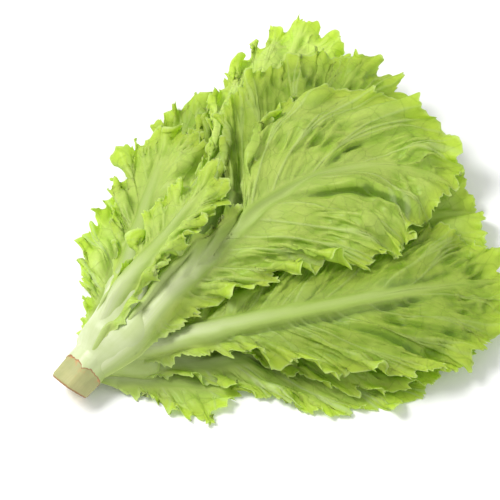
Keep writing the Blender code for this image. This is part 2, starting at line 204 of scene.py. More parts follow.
# From the lowest to the highest
LEAVES = (
    Leaf("outer_leaf_1", False, (34, -13), (-52, -66), 74, (30, 26), (0.10, 0.10), 27, 11, (150, 18), 0.2,
         white_veins=0.5),
    Leaf("outer_leaf_2", False, (41, -12), (-46, -58), 188, (50, 34), (0.14, 0.12), 34, 12, (260, 18), 0.15,
         white_veins=0.8),
    Leaf("outer_leaf_3", False, (55, -6), (-44, -58), 206, (54, 42), (0.20, 0.16), 36, 13, (260, 18), 0.3),
    Leaf("outer_leaf_4", False, (66, -2), (-8, -20), 224, (60, 64), (0.18, 0.04), 37, 14, (200, 16), 0.6),
    Leaf("outer_leaf_5", False, (38, 12), (24, 42), 114, (24, 34), (0.12, 0.12), 29, 15, (200, 18), -0.3,
         white_veins=0.9),
    Leaf("outer_leaf_6", False, (48, 9), (20, 24), 204, (30, 48), (0.16, 0.18), 33, 16, (230, 18), 0.4),
    Leaf("outer_leaf_7", False, (70, 6), (8, 12), 214, (46, 54), (0.20, 0.20), 35, 17, (200, 16), 0.5),
    Leaf("inner_leaf_1", True, (93, -4), (-26, -38), 206, (52, 52), (0.20, 0.06), 34, 21, (220, 16), 0.3),
    Leaf("inner_leaf_2", True, (93, 3), (14, 26), 194, (30, 50), (0.24, 0.22), 33, 22, (200, 16), 0.7),
    Leaf("inner_leaf_3", True, (93, 0), (-4, -8), 190, (54, 54), (0.22, 0.22), 35, 23, (160, 14), 0.5),
    Leaf("inner_leaf_4", True, (54, 7), (27, 31), 152, (26, 38), (0.20, 0.22), 30, 24, (260, 20), 0.1),
    Leaf("inner_leaf_5", True, (62, 3), (11, 18), 256, (30, 56), (0.45, 0.22), 33, 25, (420, 24), -0.35),
    Leaf("inner_leaf_6", True, (60, -3), (-3, 14), 246, (56, 60), (0.28, 0.24), 36, 26, (440, 26), 0.6),
    Leaf("outer_leaf_8", True, (46, -13), (-43, -26), 238, (62, 50), (0.05, 0.10), 35, 27, (500, 30), 0.6,
         folds=(((10, -7), (190, -5), 4.5), ((125, -10), (190, -50), 5.0), ((150, -12), (205, -38), 3.5),
                ((150, 3), (205, 10), 3.0))),
    Leaf("outer_leaf_9", True, (43, -17), (-1, -77), 250, (64, 68), (0.42, 0.03), 36, 28, (560, 34), 0.2,
         white_veins=0.35, turn_late=3.2,
         folds=(((140, -6), (232, -44), 7.0), ((168, 6), (226, 34), 3.5), ((60, 12), (120, 34), 3.0))),
    Leaf("outer_leaf_10", True, (36, 3), (-2, 20), 124, (24, 17), (0.26, 0.05), 28, 29, (380, 24), 0.1,
         evened=True),
)


@dataclass
class Ruffle:
    """One size of wave in the margin. Each rides on the larger ones before it."""

    length: float
    height: float
    meander: float  # how far the flanks lean over the hollows
    reach: float  # how far it runs in from the margin
    seed: int


RUFFLES = (
    Ruffle(23.0, 3.5, 1.5, 28.0, 1),
    Ruffle(11.0, 1.9, 0.7, 12.0, 2),
    Ruffle(5.5, 0.6, 0.15, 5.0, 3),
)
FOLDS_RUN_IN = 0.22  # how fast the ruffles change on the way in, beside how fast along the margin
FOLD_ANGLE = 1.3  # the folds keep within this angle of straight in
CALM_WIDTH, CALM_LEAST = 26.0, 0.25  # the ruffles are lower where the blade is narrower than this
ROLL, ROLL_LENGTH, ROLL_REACH, ROLL_IN = 3.2, 43.0, 13.0, 0.35  # the rolls of the margin
SWING = 1.1  # how far the ruffles are taken to reach, as a share of their heights together
ROUNDING = 1.5  # the ruffles' crests are rounded off towards this many times their height
STEADY = 0.6  # 0 ruffles the sheet square to itself, 1 square to the sheet before any ruffle
TOOTH_LENGTH, TOOTH_HEIGHT, TOOTH_REACH, TOOTH_PEAK, TOOTH_LEVEL = 3.3, 2.7, 3.4, 0.38, 0.43
LOBE_LENGTH, LOBE_HEIGHT, LOBE_REACH = 11.0, 1.6, 9.0
WAVE_PARTS = ((0.62, 1.0), (0.28, 1.63), (0.22, 0.37))  # the heights and paces that make an uneven wave
HILL_SIZES = (0.65, 1.4)


def smooth(x):
    """0 below 0, 1 above 1, and an even ease between them."""
    x = np.clip(x, 0.0, 1.0)
    return x * x * (3 - 2 * x)


def unit(vectors):
    return vectors / np.maximum(np.linalg.norm(vectors, axis=-1, keepdims=True), 1e-9)


# The plan of a leaf

def rib_line(leaf, along):
    """The rib in plan at the distances along it: x, y and the way it heads."""
    steps = np.linspace(0.0, leaf.length, RIB_STEPS)
    share = (steps / leaf.length) ** leaf.turn_late
    turn = np.radians(leaf.heading[0] + (leaf.heading[1] - leaf.heading[0]) * share)
    x = leaf.root[0] + np.concatenate([[0.0], np.cumsum(np.cos(turn[1:]) * steps[1])])
    y = leaf.root[1] + np.concatenate([[0.0], np.cumsum(np.sin(turn[1:]) * steps[1])])
    return np.interp(along, steps, x), np.interp(along, steps, y), np.interp(along, steps, turn)


def margin(leaf, side, share):
    """One side's margin at shares of its run: the distances along and across the rib, and its length."""
    half_width, widens = leaf.half_width[side], leaf.widens[side]
    lower = np.linspace(0.0, FULLEST, MARGIN_STEPS[0])
    swell = ROOT_HALF_WIDTH + (half_width - ROOT_HALF_WIDTH) * smooth((lower - widens) / (FULLEST - widens))
    turn = np.linspace(0.0, math.pi / 2, MARGIN_STEPS[1])[1:]
    along = np.concatenate([lower, FULLEST + (1 - FULLEST) * np.sin(turn)]) * leaf.length
    across = np.concatenate([swell, half_width * np.cos(turn)])
    run = np.concatenate([[0.0], np.cumsum(np.hypot(np.diff(along), np.diff(across)))])
    return np.interp(share * run[-1], run, along), np.interp(share * run[-1], run, across), run[-1]


def waves(distance, wave, seed):
    """An uneven wave along the margin, between about -1 and 1."""
    phase = np.random.default_rng(seed).uniform(0, 2 * math.pi, 3)
    turn = 2 * math.pi * distance / wave
    return sum(height * np.sin(pace * turn + start) for (height, pace), start in zip(WAVE_PARTS, phase))


def uneven(u, v, seed, narrow=math.pi, parts=12):
    """Hills and hollows about 1 apart in u and in v. They keep within the angle narrow of the way of u."""
    chance = np.random.default_rng(seed)
    total = np.zeros(np.broadcast(u, v).shape)
    for _ in range(parts):
        way = chance.uniform(-narrow, narrow) / 2
        size, phase = chance.uniform(*HILL_SIZES), chance.uniform(0, 2 * math.pi)
        total += np.sin(2 * math.pi * size * (u * math.cos(way) + v * math.sin(way)) + phase)
    return total / math.sqrt(parts / 2)


def vein_start(leaf, side, share):
    edge_along, edge_across, _ = margin(leaf, side, share)
    return edge_along * (VEIN_START - VEIN_SLANT * edge_across / leaf.half_width[side])


def rib_half_width(leaf, along):
    return RIB_HALF_WIDTH * np.maximum(1 - along / leaf.length, 0.0) ** RIB_NARROWS + RIB_LEAST_HALF_WIDTH


def rib_side(leaf, side, share):
    """How far out on its vein the rib's side is, worked out at the solid's veins."""
    at = np.linspace(0.0, 1.0, VEINS + 1)
    _, edge_across, _ = margin(leaf, side, at)
    rib_half = rib_half_width(leaf, vein_start(leaf, side, at))
    found = np.minimum(rib_half / np.maximum(edge_across, rib_half), RIB_WIDEST_SHARE)
    found[-1] = RIB_TIP_SHARE
    return np.interp(share, at, found)


def side_plan(leaf, side, share, out):
    """The plan of one side at shares of the margin's run and shares of each vein, (shares, rows)."""
    sign = 1 - 2 * side
    share = share[:, None]
    edge_along, edge_across, edge_length = margin(leaf, side, share)
    start = vein_start(leaf, side, share)
    in_rib = np.clip(1 - out / rib_side(leaf, side, share), 0.0, 1.0)
    from_start = start + (vein_start(leaf, 1, share) - start) * in_rib
    from_tip = sign * (share - 1) * edge_length
    lobes = JAG_DEPTH * waves(from_tip, 0.5 * leaf.wave, leaf.seed + 100) * smooth(share / RUFFLE_START)
    wing = WING * smooth((EARLY - leaf.widens[side]) / WING_EASE)
    wing = wing * smooth(share / WING_RISE) * smooth((WING_LENGTH - share) / WING_EASE)
    reach = lobes * smooth((out - MIDDLE_ROW) / (1 - MIDDLE_ROW)) ** 2 + wing * leaf.winged * out
    lean = np.arctan2(edge_across, np.maximum(edge_along - start, 1e-6))
    along = from_start + (edge_along - start) * out + reach * np.cos(lean)
    along = np.clip(along, 0.0, leaf.length * LONGEST)
    across = sign * (edge_across * out + reach * np.sin(lean))
    on_rib = np.minimum(along, leaf.length)
    rib_x, rib_y, turn = rib_line(leaf, on_rib)
    beyond = along - on_rib
    x = rib_x + beyond * np.cos(turn) - across * np.sin(turn)
    y = rib_y + beyond * np.sin(turn) + across * np.cos(turn)
    return x, y, along, across, from_tip + 0 * out


def solid_plan(leaf):
    """The plan of the solid's corners, (veins, rows across from left to right)."""
    share = np.linspace(0.0, 1.0, VEINS + 1)
    leaf = replace(leaf, winged=0.0)  # the solids have no wings
    x, y = np.zeros((VEINS + 1, 2 * ROWS + 1)), np.zeros((VEINS + 1, 2 * ROWS + 1))
    for side, sign in ((0, 1), (1, -1)):
        out = (0 * share, rib_side(leaf, side, share), 0 * share + MIDDLE_ROW, 0 * share + 1)
        side_x, side_y, *_ = side_plan(leaf, side, share, np.stack(out, axis=-1))
        columns = ROWS - sign * np.arange(ROWS + 1)
        x[:, columns], y[:, columns] = side_x, side_y
    for field in (x, y):
        field[-1] = (field[-1] + field[-1, ::-1]) / 2
    return x, y


SOLID_PLANS = {leaf.name: solid_plan(leaf) for leaf in LEAVES}
HEAD_MIDDLE = np.array([
    max(x.max() for x, _ in SOLID_PLANS.values()) / 2,
    (min(y.min() for _, y in SOLID_PLANS.values()) + max(y.max() for _, y in SOLID_PLANS.values())) / 2,
])


def solid_corners(name):
    corners = np.array([vert.co for vert in frame["nodes"][name].data.vertices]) / MM
    corners[:, :2] += HEAD_MIDDLE
    return corners


def laid_heights(leaf):
    """The height of the sheet at the solid's corners, (veins, rows across)."""
    x, y = SOLID_PLANS[leaf.name]
    corners = solid_corners(leaf.name)
    back_share = RIB_BACK_SHARE if leaf.back_up else 1 - RIB_BACK_SHARE
    z = np.zeros(x.shape)
    for place in np.ndindex(x.shape):
        near = np.hypot(corners[:, 0] - x[place], corners[:, 1] - y[place]) < CORNER_REACH
        low, high = corners[near, 2].min(), corners[near, 2].max()
        z[place] = low + (high - low) * (1 - back_share)
    if leaf.evened:
        padded = np.pad(z, ((2, 2), (0, 0)), "edge")
        even = sum(share * padded[step:step + len(z)] for step, share in enumerate(EVENING))
        z = even + (z - even) * np.array(STEPS_LEFT)
    return z


# The sheet of a leaf. Its points are a fan: veins from the left of the root round the tip to the right
# of the root, and rows from the rib to the margin.

def between_veins(z, fine):
    """Heights at fine steps between the solid's veins, on a smooth curve through them."""
    padded = np.concatenate([2 * z[:1] - z[1:2], z, z[-2:-1, ::-1]])
    where = np.linspace(0, VEINS, fine + 1)
    first = np.minimum(where.astype(int), VEINS - 1)
    t = (where - first)[:, None]
    a, b, c, d = (padded[first + step] for step in range(4))
    return 0.5 * (2 * b + (c - a) * t + (2 * a - 5 * b + 4 * c - d) * t**2 + (3 * b - a - 3 * c + d) * t**3)


def curve(start, end, leaving, arriving, t):
    """A smooth way from start to end, with its slopes at both."""
    return (
        start * (2 * t**3 - 3 * t**2 + 1) + end * (3 * t**2 - 2 * t**3)
        + leaving * (t**3 - 2 * t**2 + t) + arriving * (t**3 - t**2)
    )


def across_rows(knots, z, at):
    """Heights at places across each vein, on a smooth curve through its knots."""
    gaps = np.maximum(np.diff(knots, axis=1), 1e-3)
    rises = np.diff(z, axis=1) / gaps
    slopes = np.empty_like(z)
    slopes[:, 0], slopes[:, -1] = rises[:, 0], rises[:, -1]
    slopes[:, 1:-1] = (z[:, 2:] - z[:, :-2]) / (gaps[:, 1:] + gaps[:, :-1])
    last = knots.shape[1] - 2
    cell = np.clip((at[:, :, None] >= knots[:, None, :]).sum(axis=2) - 1, 0, last)
    take = np.take_along_axis
    gap = take(gaps, cell, 1)
    t = np.clip((at - take(knots, cell, 1)) / gap, 0.0, 1.0)
    ends, leads = ((take(field, cell, 1), take(field, cell + 1, 1)) for field in (z, slopes))
    return curve(*ends, gap * leads[0], gap * leads[1], t)


class Sheet:
    """A leaf's sheet in the fan's order, before and after it is ruffled."""

    def __init__(self, leaf):
        self.leaf = leaf
        fine, blade_rows = leaf.fineness
        share = np.linspace(0.0, 1.0, fine + 1)
        heights = between_veins(laid_heights(leaf), fine)
        q = np.linspace(0.0, 1.0, blade_rows + 1)[1:]
        crowd = 1 - (1 - q) ** MARGIN_CROWDING
        halves, knots, places = [], [], []
        for side in (0, 1):
            rib_out = rib_side(leaf, side, share)[:, None]
            in_rib = rib_out * np.linspace(0.0, 1.0, RIB_ROWS + 1)
            out = np.concatenate([in_rib, rib_out + (1 - rib_out) * crowd], axis=1)
            halves.append((out, *side_plan(leaf, side, share, out)))
            edge_along, edge_across, _ = margin(leaf, side, share)
            width = np.hypot(edge_along - vein_start(leaf, side, share), edge_across)
            width = np.maximum(width, 1.0)[:, None]
            solid_rows = (rib_out, 0 * rib_out + MIDDLE_ROW, 0 * rib_out + 1)
            knots.append(np.concatenate(solid_rows, axis=1) * width)
            places.append(out * width)
        all_knots = np.concatenate([-knots[0][:, ::-1], 0 * knots[0][:, :1], knots[1]], axis=1)
        all_places = np.concatenate([-places[0][:, :0:-1], places[1]], axis=1)
        z = across_rows(all_knots, heights, all_places)
        rows = RIB_ROWS + blade_rows
        z_halves = (z[:, rows::-1], z[:, rows:])
        z_halves[0][-1] = z_halves[1][-1] = (z_halves[0][-1] + z_halves[1][-1]) / 2

        def fan(left, right):
            return np.concatenate([left, right[-2::-1]])

        self.out, x, y, self.along, self.across, self.run = (
            fan(left, right) for left, right in zip(halves[0], halves[1])
        )
        self.points = np.stack([x, y, fan(*z_halves)], axis=-1)
        self.share = fan(share[:, None], share[:, None])
        self.depth = fan(places[0][:, -1:] - places[0], places[1][:, -1:] - places[1])
        self.sign = np.concatenate([np.ones(fine), [0.0], -np.ones(fine)])[:, None]
        self.calm = smooth(CALM_LEAST + self.depth[:, RIB_ROWS:RIB_ROWS + 1] / CALM_WIDTH)
        apart = np.linalg.norm(np.gradient(self.points, axis=0), axis=-1)
        usual = np.abs(np.gradient(self.run, axis=0)) * (FAN_AT_RIB + (1 - FAN_AT_RIB) * self.out)
        self.open = smooth((apart / np.maximum(usual, 1e-6) - CLOSED) / (1 - CLOSED))
        self.base = self.points.copy()

    def up(self):
        """The way the sheet faces at each point, upwards where it lies flat."""
        facing = unit(np.cross(np.gradient(self.points, axis=0), np.gradient(self.points, axis=1)))
        facing[:, 0] = unit(facing[:, 0] + facing[::-1, 0])
        return facing

    def near_margin(self, reach):
        """1 at the margin and 0 from reach inwards."""
        return np.clip(1 - self.depth / reach, 0.0, 1.0)

    def rib_profile(self):
        """1 in the middle of the rib and 0 at its sides, and how far beside the middle a point is."""
        beside = np.abs(self.across) / rib_half_width(self.leaf, self.along)
        return np.sqrt(np.clip(1 - beside**2, 0.0, 1.0)), beside

    def rib_fullness(self):
        left = np.clip(1 - self.along / self.leaf.length, 0.0, 1.0)
        full = ROOT_FULLNESS + (1 - ROOT_FULLNESS) * smooth(self.along / ROOT_TAPER)
        full = full * (1 - TONGUE_THINS * smooth(-self.along / TONGUE_LENGTH * TONGUE_THINS_EARLY))
        return np.maximum(RIB_THICKNESS * left**RIB_THINS, RIB_LEAST_THICKNESS) * full

    def thickness(self):
        """How far the two faces stand above and below the sheet."""
        profile, _ = self.rib_profile()
        rib = self.rib_fullness() * profile
        back_share = RIB_BACK_SHARE if self.leaf.back_up else 1 - RIB_BACK_SHARE
        blade = BLADE_THICKNESS / 2 * (1 - EDGE_THINS * smooth(1 - self.depth / EDGE_WIDTH))
        return np.maximum(blade, rib * back_share), np.maximum(blade, rib * (1 - back_share))


def side_veins(sheet):
    """Where the side veins run: the distance from the nearest one, in millimetres, and its order."""
    leaf = sheet.leaf
    chance = np.random.default_rng(leaf.seed + 300)
    count = round(leaf.length / VEIN_SPACING)
    spacing = np.linalg.norm(np.gradient(sheet.points, axis=0), axis=-1)
    steps = np.arange(len(sheet.points))[:, None]
    fine = leaf.fineness[0]
    nearest = np.full(sheet.out.shape, FAR)
    for side in (0, 1):
        for number in range(count):
            place = (number + 0.75 + chance.uniform(-0.35, 0.35)) / count * 0.93
            sway = chance.uniform(-1, 1, 3)
            half = (sheet.sign >= 0) if side == 0 else (sheet.sign <= 0)
            for fork in (0, -1, 1):
                split = FORK_START + 0.12 * sway[0]
                away = fork * FORK_SPREAD / count * np.clip((sheet.out - split) / (1 - split), 0, 1) ** 0.8
                bend = 0.016 * sway[1] * np.sin(5 * sheet.out + sway[2])
                at = place + bend + away + 0.02 * (sheet.out - 0.5)
                index = at * fine if side == 0 else 2 * fine - at * fine
                distance = np.abs(steps - index) * spacing + abs(fork) * FORK_FAINTER
                distance = np.where(half & ((fork == 0) | (sheet.out > split)), distance, FAR)
                nearest = np.minimum(nearest, distance)
    return nearest


def relief(sheet):
    """Raises the side veins on the leaf's back, and blisters the blade between them."""
    leaf = sheet.leaf
    back = 1 if leaf.back_up else -1
    nearest = side_veins(sheet)
    inside = smooth((sheet.depth - RELIEF_START) / RELIEF_FULL)
    inside = inside * smooth((np.abs(sheet.across) / rib_half_width(leaf, sheet.along) - 0.9) / 0.8)
    ridge = VEIN_HEIGHT * (1 - smooth(nearest / VEIN_WIDTH)) * (1 - VEIN_SINKS * sheet.out)
    across_veins = sheet.run * 0.7  # the pattern closes up towards the rib, as the veins do
    net = np.abs(uneven(across_veins / HOLLOW_WIDTH, sheet.depth / HOLLOW_LENGTH, leaf.seed + 400))
    patches = 0.75 + 0.5 * uneven(sheet.along / PATCH, sheet.across / PATCH, leaf.seed + 401)
    patches = np.clip(patches, 0.1, 1.6)
    hollows = HOLLOW_DEPTH * (np.minimum(net, HOLLOW_TOP) - HOLLOW_LEVEL) * patches
    hollows = hollows * (HOLLOW_AT_VEIN + (1 - HOLLOW_AT_VEIN) * smooth(nearest / 3))
    hollows = hollows * (HOLLOW_AT_RIB + (1 - HOLLOW_AT_RIB) * smooth(sheet.out / 0.5))
    # Where the blade's hollows are painted darker, as painted shade, less so on the veins.
    sheet.hollow = np.clip(net * patches, 0.0, 2.0) * (0.3 + 0.7 * smooth(nearest / 2.5))
    swell = SWELL_HEIGHT * uneven(across_veins / SWELL_WIDTH, sheet.depth / SWELL_LENGTH, leaf.seed + 402)
    grain = GRAIN_HEIGHT * uneven(sheet.along / GRAIN_SIZE, sheet.across / GRAIN_SIZE, leaf.seed + 403)
    lift = back * (ridge + (swell * smooth(sheet.out / 0.5) + grain - hollows) * sheet.open) * inside
    for start, end, height in leaf.folds:
        start, end = np.array(start, float), np.array(end, float)
        length = np.linalg.norm(end - start)
        ahead = (end - start) / length
        place = np.stack([sheet.along, sheet.across], axis=-1) - start
        travel = (place @ ahead) / length
        beyond = place @ np.array([ahead[1], -ahead[0]])  # positive to the right of the crease
        shape = np.where(beyond < 0, 0.7 * np.exp(beyond / 20), -0.5 * np.exp(-beyond / 12))
        shape = shape * smooth(np.abs(beyond) / 1.4) + 0.1 * (1 - smooth(np.abs(beyond) / 1.4))
        length_share = smooth((travel + 0.1) / 0.3) * smooth((1.05 - travel) / 0.2)
        lift = lift + height * shape * length_share
        # Painted shade along the lowered side of the crease.
        sheet.hollow = sheet.hollow + length_share * height / 1.7 * np.exp(-((beyond - 1.2) / 1.8) ** 2)
    sheet.points = sheet.points + sheet.up() * lift[..., None]
    sheet.vein = nearest


def ruffled(sheet, wave, fade):
    """Adds one size of wave to the sheet, square to it as it stands."""
    leaf = sheet.leaf
    seed = 1000 * leaf.seed + wave.seed
    run, depth = sheet.run / wave.length, sheet.depth / wave.length
    hill = uneven(run, depth * FOLDS_RUN_IN, seed, FOLD_ANGLE)
    drift = uneven(run, depth * FOLDS_RUN_IN, seed + 40, FOLD_ANGLE)
    reach = wave.reach * (1 + 0.3 * waves(sheet.run, 2.9 * wave.length, seed + 60))
    near = sheet.near_margin(reach) ** 1.5 * fade * sheet.calm * sheet.open
    hill, drift = (ROUNDING * np.tanh(field / ROUNDING) for field in (hill, drift))
    facing = unit(sheet.plain_up * STEADY + sheet.up() * (1 - STEADY))
    sideways = unit(np.gradient(sheet.points, axis=0))
    sheet.points = (
        sheet.points
        + facing * (wave.height * near * hill)[..., None]
        + sideways * (wave.meander * near * drift)[..., None]
    )


def curled(sheet, fade):
    """Rolls stretches of the margin over, up or down."""
    leaf = sheet.leaf
    near = sheet.near_margin(ROLL_REACH) ** 2
    roll = ROLL * waves(sheet.run, ROLL_LENGTH, leaf.seed + 500) * near * fade * sheet.calm
    outwards = unit(np.gradient(sheet.points, axis=1))
    lifted = sheet.points + sheet.up() * roll[..., None]
    sheet.points = lifted - outwards * (ROLL_IN * np.abs(roll))[..., None]


def toothed(sheet, fade):
    """Cuts the margin into lobes and small pointed teeth."""
    leaf = sheet.leaf
    phase = np.random.default_rng(leaf.seed + 600).uniform(0, 2 * math.pi, 3)
    turn = sheet.run + 1.1 * np.sin(sheet.run / 2.9 + phase[0]) + 0.8 * np.sin(sheet.run / 6.1 + phase[2])
    place = (turn / TOOTH_LENGTH + phase[1]) % 1
    point = np.minimum(place / TOOTH_PEAK, (1 - place) / (1 - TOOTH_PEAK)) ** 1.3
    large = np.clip(0.8 + 0.4 * uneven(sheet.run / 8.0, 0 * sheet.run, leaf.seed + 601), 0.5, 1.6)
    tooth = TOOTH_HEIGHT * (point - TOOTH_LEVEL) * large * sheet.near_margin(TOOTH_REACH)
    lobe = LOBE_HEIGHT * uneven(sheet.run / LOBE_LENGTH, 0 * sheet.run, leaf.seed + 602)
    lobe = lobe * sheet.near_margin(LOBE_REACH)
    outwards = unit(np.gradient(sheet.points, axis=1))
    sheet.points = sheet.points + outwards * ((tooth + lobe) * fade)[..., None]


# Clearance: the heights of the plain sheets over the table's cells keep the ruffles of one leaf out of
# its neighbours above and below

def around(field):
    """The sum of each cell and the eight round it."""
    return sum(np.roll(field, (i, j), (0, 1)) for i in (-1, 0, 1) for j in (-1, 0, 1))


def evened_out(field, known):
    """The map without the steps that its cells make on a steep sheet."""
    weight = around(known)
    for _ in range(MAP_EVENING):
        field = np.where(known > 0, around(field * known) / np.maximum(weight, 1), field)
    return field


def height_map(sheet):
    """The sheet's lowest and highest faces over the cells, carried a little past its margin."""
    above, below = sheet.thickness()
    plan = np.round((sheet.base[..., :2] - MAP_LOW) / CELL).astype(int)
    cells = plan[..., 0] * MAP_SIZE[1] + plan[..., 1]
    number = np.bincount(cells.ravel(), minlength=MAP_SIZE[0] * MAP_SIZE[1])
    maps = []
    for field in (sheet.base[..., 2] - below, sheet.base[..., 2] + above):
        total = np.bincount(cells.ravel(), weights=field.ravel(), minlength=MAP_SIZE[0] * MAP_SIZE[1])
        level = np.where(number > 0, total / np.maximum(number, 1), 0.0).reshape(MAP_SIZE)
        known = (number > 0).reshape(MAP_SIZE).astype(float)
        for _ in range(MAP_SPREAD):
            weight = around(known)
            filled = (known == 0) & (weight > 0)
            level = np.where(filled, around(level * known) / np.maximum(weight, 1), level)
            known = np.where(filled, 1.0, known)
        maps.append(np.where(known > 0, level, np.nan))
    return maps


def clearances(sheets):
    """For each leaf, the lowest and highest that it may reach over the cells, halfway to its neighbours."""
    maps = {sheet.leaf.name: height_map(sheet) for sheet in sheets}
    ceiling_top = cad_high.z / MM + TOP_ALLOWANCE
    found = {}
    for number, sheet in enumerate(sheets):
        own_low, own_high = maps[sheet.leaf.name]
        floor = np.full(MAP_SIZE, 0.1)
        ceiling = np.full(MAP_SIZE, ceiling_top)
        for below in sheets[:number]:
            halfway = (maps[below.leaf.name][1] + own_low) / 2 + LEAST_GAP
            floor = np.fmax(floor, halfway)
        for above in sheets[number + 1:]:
            halfway = (maps[above.leaf.name][0] + own_high) / 2 - LEAST_GAP
            ceiling = np.fmin(ceiling, halfway)
        known = (~np.isnan(own_low)).astype(float)
        middle = np.where(known > 0, (own_low + own_high) / 2, 0.0)
        found[sheet.leaf.name] = (*(evened_out(field, known) for field in (floor, ceiling, middle)), known)
    return found


def sampled(field, plan):
    """A map's values at points, evenly between its cells."""
    place = (plan - MAP_LOW) / CELL
    cell = np.clip(np.floor(place).astype(int), 0, np.array(MAP_SIZE) - 2)
    t = place - cell
    i, j = cell[..., 0], cell[..., 1]
    a = field[i, j] * (1 - t[..., 0]) + field[i + 1, j] * t[..., 0]
    b = field[i, j + 1] * (1 - t[..., 0]) + field[i + 1, j + 1] * t[..., 0]
    return a * (1 - t[..., 1]) + b * t[..., 1]


def kept_clear(sheet, clearance, fade):
    """Presses the ruffles into the room that the sheet has, and lets them stand where there is room."""
    floor, ceiling, middle, known = clearance
    plan = sheet.points[..., :2]
    low, high, level = (sampled(field, plan) for field in (floor, ceiling, middle))
    inside = sampled(known, plan) > 0.99
    highest = cad_high.z / MM + TOP_ALLOWANCE
    level = np.where(inside, level, sheet.base[..., 2])
    down, up = np.maximum(level - low, LEAST_ROOM), np.maximum(high - level, LEAST_ROOM)
    heights = sum(wave.height for wave in RUFFLES)
    room = heights * RISE_SHARE
    rise = np.clip(room - down, 0.0, None) * (sheet.near_margin(RISE_REACH) * fade) ** 1.5
    rise = np.minimum(rise, np.maximum(up - room, 0.0))
    away = sheet.points[..., 2] - level + rise
    swing = SWING * heights * sheet.near_margin(RUFFLES[0].reach) ** 1.5
    swing = swing + ROLL * sheet.near_margin(ROLL_REACH) ** 2
    swing = np.maximum(swing * sheet.calm * fade + rise, 0.1)
    away = away * np.minimum(1.0, np.where(away > 0, up, down) / swing)
    pressed = np.where(away > 0, up * np.tanh(away / up), down * np.tanh(away / down))
    above, below = sheet.thickness()
    plain = smooth((np.maximum(above, below) - 0.5) / 1.0)  # the thick rib keeps its place
    settled = np.where(inside, level + pressed, sheet.points[..., 2])
    settled = settled * (1 - plain) + sheet.points[..., 2] * plain
    sheet.points[..., 2] = np.clip(settled, FLOOR_GAP + below, highest)


# The tongue that leads a leaf's root into the stem

def stem_line(along):
    """The stem's radius and the height of its axis."""
    stations, radius, height = np.array(STEM_RINGS, float).T
    corners = solid_corners("stem")
    raised = []
    for station in UPRIGHT_RINGS:
        level = corners[np.abs(corners[:, 0] - station) < CORNER_REACH, 2]
        raised.append((level.min() + level.max()) / 2 - np.interp(station, stations, height))
    lean = (raised[1] - raised[0]) / (UPRIGHT_RINGS[1] - UPRIGHT_RINGS[0])
    height = height + raised[0] + lean * (stations - UPRIGHT_RINGS[0])
    return np.interp(along, stations, radius), np.interp(along, stations, height)


def tongue(sheet):
    """Rows that lead on from the root into the stem: points, and shares of the way."""
    leaf = sheet.leaf
    root, ahead = sheet.points[0, 0], sheet.points[6, 0]
    run_in = unit(root - ahead)
    end_x = max(root[0] - TONGUE_LENGTH, TONGUE_END)
    radius, axis = stem_line(end_x)
    toward = 1 if leaf.back_up else -1
    side = np.clip(root[1], -TONGUE_OFF_AXIS * radius, TONGUE_OFF_AXIS * radius)
    end = np.array([end_x, side, axis - toward * TONGUE_SINKS * radius])
    reach = np.linalg.norm(end - root)
    leaving, arriving = run_in * reach * TONGUE_LEAVES, np.array([-1.0, 0.0, 0.0]) * reach * TONGUE_ARRIVES
    t = (np.arange(1, TONGUE_ROWS + 1) / TONGUE_ROWS)[:, None]
    middle = curve(root, end, leaving, arriving, t)
    halves = []
    for row in (sheet.points[0], sheet.points[-1]):
        offset = row - root
        wide = np.linalg.norm(offset[:, :2], axis=-1)
        lengthwise = unit(offset[-1] * (1, 1, 0))
        across = unit(lengthwise * (1 - t) + np.array([0.0, np.sign(lengthwise[1]), 0.0]) * t)
        narrowed = wide[None, :, None] * (1 - TONGUE_NARROWS * smooth(t)[:, :, None])
        points = middle[:, None, :] + across[:, None, :] * narrowed
        points[..., 2] += offset[:, 2] * (1 - t) - toward * t * wide**2 / (2 * radius)
        halves.append(points)
    return halves, t


def with_tongue(sheet):
    """Adds the tongue's rows at both ends of the fan to every field of the sheet."""
    (left, right), t = tongue(sheet)
    sheet.points = np.concatenate([left[::-1], sheet.points, right])
    for name in ("out", "across", "run", "depth", "vein", "hollow"):
        field = getattr(sheet, name)
        first, last = np.repeat(field[:1], TONGUE_ROWS, axis=0), np.repeat(field[-1:], TONGUE_ROWS, axis=0)
        setattr(sheet, name, np.concatenate([first, field, last]))
    behind = -t * TONGUE_LENGTH + 0 * sheet.out[:1]
    sheet.along = np.concatenate([behind[::-1], sheet.along, behind])


# Meshes

def placed(points):
    """Millimetres from the cut end to metres in the frame."""
    return (points - np.array([*HEAD_MIDDLE, 0.0])) * MM


def grid(points):
    """A mesh in lines through the points. Its vertices keep the points' numbers."""
    lines, places = points.shape[:2]
    bm = bmesh.new()
    bmesh.ops.create_grid(bm, x_segments=places - 1, y_segments=lines - 1, size=1.0)
    point = bm.verts.layers.int.new("point")
    for vert in bm.verts:
        place, line = round((vert.co.x + 1) / 2 * (places - 1)), round((vert.co.y + 1) / 2 * (lines - 1))
        vert[point] = line * places + place
        vert.co = points[line, place]
    return bm, point


def closed_mesh(bm, name):
    bmesh.ops.recalc_face_normals(bm, faces=bm.faces[:])
    mesh = bpy.data.meshes.new(name)
    bm.to_mesh(mesh)
    bm.free()
    mesh.shade_smooth()
    return mesh


